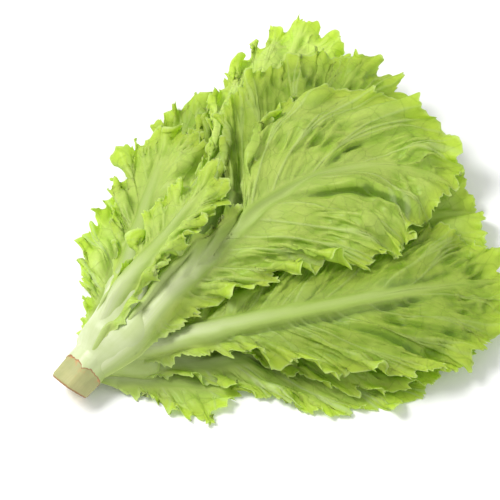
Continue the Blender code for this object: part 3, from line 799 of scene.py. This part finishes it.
def sheet_mesh(sheet):
    """The sheet's two faces and the thin edge between them, as one closed mesh."""
    above, below = sheet.thickness()
    facing = sheet.up()
    profile = sheet.rib_profile()[0][..., None]
    rib_up = unit((facing + facing[::-1])[:, :RIB_ROWS + 1].sum(axis=1))[:, None]
    facing = unit(facing * (1 - profile) + rib_up * profile)  # a rib in a valley keeps its round back
    top = placed(sheet.points + facing * above[..., None])
    under = placed(sheet.points - facing * below[..., None])
    for face in (top, under):
        face[:, 0] = (face[:, 0] + face[::-1, 0]) / 2
    bm, point = grid(under)
    rows = under.shape[1]
    rib = [vert for vert in bm.verts if vert[point] % rows == 0]
    bmesh.ops.remove_doubles(bm, verts=rib, dist=1e-7)
    spare = []
    for edge in bm.edges:
        (vein_a, row_a), (vein_b, row_b) = (divmod(vert[point], rows) for vert in edge.verts)
        if vein_a % 2 and vein_b % 2 and row_a != row_b and max(row_a, row_b) <= THINNED_ROWS:
            spare.append(edge)
    bmesh.ops.dissolve_edges(bm, edges=spare, use_verts=True)
    raised = bmesh.ops.extrude_face_region(bm, geom=bm.faces[:])["geom"]
    top = top.reshape(-1, 3)
    for vert in raised:
        if isinstance(vert, bmesh.types.BMVert):
            vert.co = top[vert[point]]
    return closed_mesh(bm, sheet.leaf.name)


def paint(mesh, name, values):
    """Stores a value for each of the points on the mesh."""
    order = np.zeros(len(mesh.vertices), np.int32)
    mesh.attributes["point"].data.foreach_get("value", order)
    values = values.reshape(-1, values.shape[-1]) if values.ndim == 3 else values.reshape(-1)
    picked = values[order].astype(np.float32)
    kind, field = ("FLOAT", "value") if picked.ndim == 1 else ("FLOAT_VECTOR", "vector")
    mesh.attributes.new(name, kind, "POINT").data.foreach_set(field, picked.ravel())


def dressed(mesh, name, painted, material):
    """The piece made of the mesh, with the painted values that its material reads."""
    for field, values in painted.items():
        paint(mesh, field, values)
    mesh.attributes.remove(mesh.attributes["point"])
    mesh.materials.append(material)
    piece = bpy.data.objects.new(name, mesh)
    bpy.context.scene.collection.objects.link(piece)
    return piece


def leaf_piece(sheet, clearance):
    """A leaf's piece. Returns its rib's middle line, with how far the rib stands out, and the leaf."""
    leaf = sheet.leaf
    relief(sheet)
    free = (np.abs(sheet.across) - 0.9 * rib_half_width(leaf, sheet.along)) / RIB_CLEAR
    start = np.clip(np.where(sheet.sign >= 0, *leaf.widens), EARLIEST_RUFFLE, RUFFLE_START)
    at_tip = smooth(1 - (1 - sheet.share) / TIP_SHARE)
    fade = smooth(sheet.share / start) * np.maximum(smooth(free), at_tip)
    sheet.plain_up = sheet.up()
    ruffled(sheet, RUFFLES[0], fade)
    curled(sheet, fade)
    for wave in RUFFLES[1:]:
        ruffled(sheet, wave, fade)
    toothed(sheet, fade)
    kept_clear(sheet, clearance, fade)
    with_tongue(sheet)
    _, beside = sheet.rib_profile()
    forward = sheet.along * math.cos(NET_SLANT) + np.abs(sheet.across) * math.sin(NET_SLANT)
    sideways = np.abs(sheet.across) * math.cos(NET_SLANT) - sheet.along * math.sin(NET_SLANT)
    flat = np.stack([sheet.along, sheet.across, 0 * sheet.along], axis=-1) / PATTERN
    net = np.stack([forward * NET_STRETCH, sideways, 0 * forward + leaf.seed * 7.0], axis=-1) / PATTERN
    piece = dressed(sheet_mesh(sheet), leaf.name + "_looks", {
        "flat": flat, "net": net, "beside": np.minimum(beside, 9.0), "depth": sheet.depth,
        "vein": np.minimum(sheet.vein, 9.0), "hollow": sheet.hollow,
    }, leaf_finish(leaf))
    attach(piece, "root")
    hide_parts(leaf.name)
    above, below = sheet.thickness()
    stands = (above if leaf.back_up else below)[:, 0]
    half = len(sheet.points) // 2
    return np.concatenate([sheet.points[:half, 0], stands[:half, None]], axis=1), leaf


# The stem

def collared(reach, along, angle, axis, ribs):
    """Runs the stem's skin out onto the leaves' ribs, in ridges that sink into them."""
    total = 0.0
    for rib, leaf in ribs:
        root = leaf.root[0]
        if root > COLLARED_ROOTS:
            continue
        y, z, stands = (np.interp(along, rib[:, 0], rib[:, field]) for field in (1, 2, 3))
        rise = z - axis
        distance = np.hypot(y, rise)
        off = -y / distance * np.cos(angle) + rise / distance * np.sin(angle)
        beside = distance * np.sqrt(np.clip(1 - off**2, 0, 1)) / COLLAR_HALF_WIDTH
        crest = np.clip(1 - beside**2, 0.0, 1.0) ** 1.5 * (off > 0)
        out = (along - root) / COLLAR_LENGTH
        top = distance + stands + COLLAR_PROUD - COLLAR_SINK * smooth(out)
        rise = np.maximum(top - reach, 0.0) * crest * smooth((1 - out) / 0.7)
        total = total + (rise * smooth((along - COLLAR_START) / COLLAR_RISE)) ** COLLAR_BLEND
    return reach + total ** (1 / COLLAR_BLEND)


def stem_piece(ribs):
    """The stem: a fluted rod with a knife-shaved patch beside its cut end, closed at both ends."""
    ends = STEM_RINGS[-1][0]
    angles = np.linspace(0.0, 2 * math.pi, STEM_SIDES + 1)
    face_shares = np.concatenate([np.linspace(0.04, 0.90, 10), np.linspace(0.92, 1.0, 4)])
    lengthways = np.concatenate([np.linspace(0.25, 26, 64), np.linspace(27, ends, 62)])
    stations = np.concatenate([np.zeros(len(face_shares)), lengthways])
    shrink = np.concatenate([face_shares, np.ones(len(lengthways))])
    radius, axis = stem_line(stations)
    angle, along = angles[None, :], stations[:, None]
    flute = STEM_FLUTE_DEPTH * (1 - np.cos(STEM_FLUTES * angle)) / 2
    lumps = 0.22 * np.sin(3 * angle + 0.09 * along) + 0.12 * np.sin(11 * angle + 0.05 * along + 1.0)
    swelling = 0.3 * np.sin(along / 6.5 + 2 * angle)
    full = radius[:, None] - flute + lumps + swelling * smooth(along / 8)
    facing = (math.pi / 2 - angle + math.pi) % (2 * math.pi) - math.pi  # 0 on top, growing to the right
    lobes = [1 - ((facing - middle) / half) ** 2 for middle, half, _ in SHAVED_LOBES]
    border = np.maximum(*[
        SHAVED_LEAST + (length - SHAVED_LEAST) * np.sqrt(np.clip(lobe, 0, 1)) - 30 * np.clip(-lobe, 0, 1)
        for lobe, (_, _, length) in zip(lobes, SHAVED_LOBES)])
    border = border + 0.35 * np.sin(9 * angle) + 0.22 * np.sin(23 * angle) + 0.12 * np.sin(41 * angle + 1)
    shaved = np.minimum(border - along, 12.0 * np.maximum(*lobes) + 0.6)
    flat = np.full(full.shape, FAR)
    for middle, _, _ in SHAVED_LOBES:
        flat = np.minimum(flat, (radius[:, None] - SHAVED_DEPTH) / np.maximum(np.cos(facing - middle), 0.3))
    bare = smooth(shaved / 0.5)
    reach = full * (1 - bare) + np.minimum(full - 0.45, np.maximum(flat, full - 1.6)) * bare
    reach = collared(reach, along, angle, axis[:, None], ribs)
    rounding = 0.35 * (1 - smooth(along / 0.7)) * (stations > 0)[:, None]
    reach = (reach - rounding) * shrink[:, None]
    dish = np.where(stations == 0, 0.9 * (1 - shrink**2), 0.0)[:, None]
    fibre = 0.12 * np.sin(23 * angle) * np.sin(31 * shrink[:, None]) * (stations == 0)[:, None]
    y = -reach * np.cos(angle)
    z = axis[:, None] + reach * np.sin(angle)
    slant = CUT_SLANT * ((axis + radius)[:, None] - z) * np.maximum(0.0, 1 - along / CUT_LENGTH)
    x = along + np.maximum(slant, 0.0) + dish + fibre
    points = placed(np.stack([x, y, np.maximum(z, 0.02)], axis=-1))
    bm, _ = grid(points)
    bmesh.ops.remove_doubles(bm, verts=bm.verts[:], dist=1e-7)
    bmesh.ops.holes_fill(bm, edges=bm.edges[:], sides=0)
    lengthwise = np.broadcast_arrays(along, np.sin(angle) * SKIN_RADIUS, np.cos(angle) * SKIN_RADIUS)
    piece = dressed(closed_mesh(bm, "stem_looks"), "stem_looks", {
        "shaved": np.clip(shaved, -9, 9), "around": facing + 0 * along,
        "on_cut": np.where(stations == 0, 1.0, 0.0)[:, None] + 0 * angle,
        "from_axis": shrink[:, None] + 0 * angle, "lengthwise": np.stack(lengthwise, axis=-1) / PATTERN,
    }, stem_finish())
    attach(piece, "root")
    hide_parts("stem")


# Materials

# Colours in sRGB, from 0 to 255
PALE_LEAF, DEEP_LEAF, CREASE_SHADE = (222, 236, 130), (163, 187, 52), (92, 124, 34)
FRILL, FRILL_EDGE, LIT_THROUGH = (226, 240, 100), (240, 248, 178), (210, 242, 40)
NET_LINE, WHITE_VEIN, RIB_HALO = (108, 138, 44), (226, 236, 176), (200, 217, 132)
RIB_AT_ROOT, RIB_AT_TIP = ((200, 208, 164), (168, 189, 104)), ((164, 184, 100), (146, 172, 70))
RIB_STREAK = (176, 200, 104)
STEM_SKIN, SKIN_SHADE, SKIN_FIBRE = ((186, 198, 144), (198, 207, 164)), (160, 180, 98), (170, 188, 118)
BARE, BARE_FIBRE, BARE_BLOTCH = ((162, 164, 108), (178, 175, 118)), (158, 156, 98), (196, 134, 84)
BROWN_RIM, CUT_RIM = (156, 100, 62), (150, 96, 58)
CUT, CUT_EDGE = ((176, 163, 84), (198, 186, 112)), (156, 112, 62)


def linear(colour):
    """A colour as the shaders take it."""
    shares = (c / 255 for c in colour)
    return (*(c / 12.92 if c <= 0.04 else ((c + 0.055) / 1.055) ** 2.4 for c in shares), 1.0)


class Value:
    """A number in a material's node tree. Its operators add Math nodes."""

    def __init__(self, finish, socket):
        self.finish, self.socket = finish, socket

    def math(self, operation, *others):
        made = self.finish.node("ShaderNodeMath", {"operation": operation}, dict(enumerate((self, *others))))
        return Value(self.finish, made.outputs[0])

    def __add__(self, other):
        return self.math("ADD", other)

    def __mul__(self, other):
        return self.math("MULTIPLY", other)

    def __sub__(self, other):
        return self.math("SUBTRACT", other)

    def __rsub__(self, other):
        return self.math("MULTIPLY", -1.0).math("ADD", other)

    __radd__, __rmul__ = __add__, __mul__

    def ease(self, low, high):
        """0 where the value is low, 1 where it is high, with an even ease between them."""
        node = self.finish.node(
            "ShaderNodeMapRange", {"interpolation_type": "SMOOTHSTEP", "clamp": True},
            {"Value": self, "From Min": low, "From Max": high})
        return Value(self.finish, node.outputs["Result"])


class Finish:
    """A material under construction."""

    def __init__(self, name):
        self.material = bpy.data.materials.new(name)
        self.material.use_nodes = True
        self.tree = self.material.node_tree
        self.tree.nodes.clear()

    def node(self, kind, settings=None, values=None):
        made = self.tree.nodes.new(kind)
        for name, setting in (settings or {}).items():
            setattr(made, name, setting)
        for key, value in (values or {}).items():
            socket = made.inputs[key]
            if isinstance(value, Value):
                self.tree.links.new(value.socket, socket)
            elif isinstance(value, bpy.types.NodeSocket):
                self.tree.links.new(value, socket)
            else:
                socket.default_value = value
        return made

    def painted(self, name):
        return Value(self, self.node("ShaderNodeAttribute", {"attribute_name": name}).outputs["Fac"])

    def painted_place(self, name):
        return self.node("ShaderNodeAttribute", {"attribute_name": name}).outputs["Vector"]

    def noise(self, place, scale, detail=2.0, distortion=0.0):
        return Value(self, self.node("ShaderNodeTexNoise", {}, {
            "Vector": place, "Scale": scale, "Detail": detail, "Distortion": distortion}).outputs["Fac"])

    def stretched(self, place, by):
        return self.node("ShaderNodeVectorMath", {"operation": "MULTIPLY"}, {0: place, 1: by}).outputs[0]

    def cells(self, place, scale):
        """Distance from the edges of uneven cells, which draw a net."""
        return Value(self, self.node("ShaderNodeTexVoronoi", {"feature": "DISTANCE_TO_EDGE"}, {
            "Vector": place, "Scale": scale}).outputs["Distance"])

    def mix(self, factor, first, second):
        first, second = (
            linear(colour) if isinstance(colour, tuple) and len(colour) == 3 else colour
            for colour in (first, second)
        )
        return self.node("ShaderNodeMix", {"data_type": "RGBA"}, {0: factor, 6: first, 7: second}).outputs[2]

    def finished(self, surface):
        self.node("ShaderNodeOutputMaterial", {}, {"Surface": surface.outputs[0]})
        return self.material


def leaf_finish(leaf):
    """A leaf: pale rib and veins, a fine net over the blade, a brighter ruffled margin, and painted shade in
    the blade's hollows and creases.
    """
    made = Finish(leaf.name)
    depth, beside, vein = made.painted("depth"), made.painted("beside"), made.painted("vein")
    flat, net = made.painted_place("flat"), made.painted_place("net")
    along = Value(made, made.node("ShaderNodeSeparateXYZ", {}, {0: flat}).outputs[0])

    pale, deep = np.array(linear(PALE_LEAF)), np.array(linear(DEEP_LEAF))
    blade = tuple(pale + (deep - pale) * leaf.shade)
    faint = min(0.45 * max(0.6 - leaf.shade, 0.0), 0.27)
    # A deeper tone, laid on in random mottles and, as painted shade, in the blade's hollows and creases.
    mottle_and_shade = tuple(np.array(blade) * (0.52 + faint, 0.66 + faint, 0.30 + faint, 1.0))
    mottle = made.noise(flat, 0.9, 4.0, 0.5).ease(0.30, 0.70)
    colour = made.mix(mottle * 0.5 + made.painted("hollow").ease(1.5, 0.2) * 0.5, mottle_and_shade, blade)
    # Painted shade, darker still, along the creases.
    colour = made.mix(made.painted("hollow").ease(2.0, 3.4) * 0.75, colour, CREASE_SHADE)

    ruffle = depth.ease(18.0, 3.0) * along.ease(0.5, 3.5)
    colour = made.mix(ruffle * 0.8, colour, FRILL)
    colour = made.mix(depth.ease(1.6, 0.2) * 0.7, colour, FRILL_EDGE)

    line = made.cells(net, 1.5).ease(0.035, 0.008) * beside.ease(0.9, 1.4)
    fine_line = made.cells(net, 4.5).ease(0.09, 0.02) * beside.ease(0.9, 1.4)
    colour = made.mix(line * 0.22 + fine_line * 0.09, colour, NET_LINE)
    vein_line = vein.ease(1.5, 0.2) * beside.ease(0.8, 1.2)
    colour = made.mix(vein_line * leaf.white_veins, colour, WHITE_VEIN)

    root_to_tip = along.ease(0.5, 0.045 * leaf.length)
    beside_crest = beside.ease(0.1, 1.0)
    low_rib, high_rib = (made.mix(beside_crest, *pair) for pair in (RIB_AT_ROOT, RIB_AT_TIP))
    rib_colour = made.mix(root_to_tip, low_rib, high_rib)
    streaks = made.noise(made.stretched(flat, (0.25, 5.0, 1.0)), 2.2, 3.0)
    rib_colour = made.mix(streaks.ease(0.35, 0.7) * 0.25, rib_colour, RIB_STREAK)
    still_rib = along.ease(0.092 * leaf.length, 0.06 * leaf.length) * 0.85 + 0.15
    rib = beside.ease(1.35, 0.75) * still_rib
    halo = beside.ease(4.0, 1.0) * 0.35 * still_rib
    colour = made.mix(halo, colour, RIB_HALO)
    colour = made.mix(rib, colour, rib_colour)

    fine = made.noise(flat, 16.0, 3.0)
    height = vein_line * 0.5 + line * 0.35 + fine * 0.18 + streaks * rib * 0.35
    bump = made.node("ShaderNodeBump", {}, {"Strength": 0.5, "Distance": 0.0006, "Height": height})
    gloss = made.node("ShaderNodeBsdfPrincipled", {}, {
        "Base Color": colour, "Roughness": fine * 0.15 + rib * 0.08 + 0.34, "Normal": bump.outputs[0],
        "IOR": 1.42, "Specular IOR Level": 0.45})
    lit_through = tuple(0.4 * np.array(blade) + 0.6 * np.array(linear(LIT_THROUGH)))
    glow = made.node("ShaderNodeBsdfTranslucent", {}, {"Color": lit_through, "Normal": bump.outputs[0]})
    thin = (1.0 - rib * 0.8) * (ruffle * 0.10 + 0.48)
    surface = made.node("ShaderNodeMixShader", {}, {0: thin, 1: gloss.outputs[0], 2: glow.outputs[0]})
    return made.finished(surface)


def stem_finish():
    """The stem: smooth pale green skin, and a browned rim round the bare face that the knife left."""
    made = Finish("stem skin")
    shaved, on_cut, from_axis = made.painted("shaved"), made.painted("on_cut"), made.painted("from_axis")
    lengthwise, around = made.painted_place("lengthwise"), made.painted("around")
    soft = made.noise(lengthwise, 0.9, 3.0)
    fibres = made.noise(made.stretched(lengthwise, (0.35, 5.0, 5.0)), 2.0, 4.0)
    blotches = made.noise(lengthwise, 2.6, 3.0, 0.6)

    skin = made.mix(soft.ease(0.35, 0.65), *STEM_SKIN)
    # Painted shade: the skin is darker and greener on the stem's right side, down to its underside.
    skin = made.mix(around.ease(0.2, 1.7), skin, SKIN_SHADE)
    skin = made.mix(fibres.ease(0.4, 0.7) * 0.2, skin, SKIN_FIBRE)
    bare = made.mix(soft.ease(0.3, 0.7), *BARE)
    bare = made.mix(fibres.ease(0.35, 0.7) * 0.35, bare, BARE_FIBRE)
    bare = made.mix(blotches.ease(0.50, 0.66) * shaved.ease(5.0, 0.5) * 0.8, bare, BARE_BLOTCH)
    edge = shaved + (blotches - 0.5) * 0.8
    colour = made.mix(shaved.ease(-0.1, 0.2), skin, bare)
    colour = made.mix(edge.ease(-0.25, 0.0) * edge.ease(0.75, 0.25) * 0.85, colour, BROWN_RIM)
    from_cut = Value(made, made.node("ShaderNodeSeparateXYZ", {}, {0: lengthwise}).outputs[0])
    cut_edge = (from_cut * 10.0 + (blotches - 0.5) * 1.2).ease(1.1, 0.5)
    colour = made.mix(cut_edge * 0.8, colour, CUT_RIM)
    cut = made.mix(fibres.ease(0.3, 0.7), *CUT)
    cut = made.mix(from_axis.ease(0.86, 0.97), cut, CUT_EDGE)
    colour = made.mix(on_cut, colour, cut)

    height = fibres * 0.6 + soft * 0.3
    bump = made.node("ShaderNodeBump", {}, {"Strength": 0.35, "Distance": 0.0008, "Height": height})
    surface = made.node("ShaderNodeBsdfPrincipled", {}, {
        "Base Color": colour, "Roughness": shaved.ease(-0.1, 0.3) * 0.2 + 0.38, "Normal": bump.outputs[0]})
    return made.finished(surface)


# The studio

CAMERA_AZIMUTH, CAMERA_ELEVATION = math.radians(-50), math.radians(55)
CAMERA_DISTANCE = 1.55
CAMERA_LENS = 180
AIM_RIGHT, AIM_UP, AIM_BACK = 0.112, 0.0856, -0.06  # of the camera's aim from the stem's cut end
STEM_MIDDLE = 13.0
# Each as its name, its place right of, above and before the aim, its size and its power
LIGHTS = (("key light", (-0.75, 0.75, 0.9), 0.55, 17.0), ("fill light", (1.1, -0.3, 0.7), 1.2, 5.0))
ROOM_LIGHT = 0.64
FLOOR_HALF = 4.0
FLOOR_COLOUR = (0.96, 0.96, 0.96, 1)


def camera_axes():
    a, e = CAMERA_AZIMUTH, CAMERA_ELEVATION
    back = Vector((math.sin(a) * math.cos(e), -math.cos(a) * math.cos(e), math.sin(e)))
    right = Vector((math.cos(a), math.sin(a), 0.0))
    return right, back.cross(right), back


def studio():
    """The camera at the photograph's angle, a pale floor and soft light."""
    right, up, back = camera_axes()
    aim = Vector(placed(np.array([0.0, 0.0, STEM_MIDDLE])))
    aim = aim + right * AIM_RIGHT + up * AIM_UP + back * AIM_BACK
    camera = bpy.data.objects.new("camera", bpy.data.cameras.new("camera"))
    camera.data.lens = CAMERA_LENS
    camera.location = aim + back * CAMERA_DISTANCE
    camera.rotation_mode = "QUATERNION"
    camera.rotation_quaternion = (-back).to_track_quat("-Z", "Y")
    scene = bpy.context.scene
    scene.collection.objects.link(camera)
    scene.camera = camera
    scene.view_settings.view_transform = "Standard"

    for name, (to_right, above, before), size, power in LIGHTS:
        where = right * to_right + up * above + back * before
        light = bpy.data.objects.new(name, bpy.data.lights.new(name, "AREA"))
        light.data.size = size
        light.data.energy = power
        light.location = aim + where
        light.rotation_mode = "QUATERNION"
        light.rotation_quaternion = where.to_track_quat("Z", "Y")
        scene.collection.objects.link(light)

    world = bpy.data.worlds.new("studio")
    world.use_nodes = True
    world.node_tree.nodes["Background"].inputs["Color"].default_value = (1, 1, 1, 1)
    world.node_tree.nodes["Background"].inputs["Strength"].default_value = ROOM_LIGHT
    scene.world = world

    bm = bmesh.new()
    bmesh.ops.create_grid(bm, x_segments=1, y_segments=1, size=FLOOR_HALF)
    mesh = bpy.data.meshes.new("floor")
    bm.to_mesh(mesh)
    bm.free()
    floor = bpy.data.objects.new("floor", mesh)
    scene.collection.objects.link(floor)
    finish = Finish("floor")
    paper = finish.node("ShaderNodeBsdfPrincipled", {}, {"Base Color": FLOOR_COLOUR, "Roughness": 0.8})
    mesh.materials.append(finish.finished(paper))


def main():
    for old in list(bpy.data.objects):
        if old.name in ("Cube", "Light", "Camera"):
            bpy.data.objects.remove(old)
    studio()
    sheets = [Sheet(leaf) for leaf in LEAVES]
    limits = clearances(sheets)
    stem_piece([leaf_piece(sheet, limits[sheet.leaf.name]) for sheet in sheets])


main()
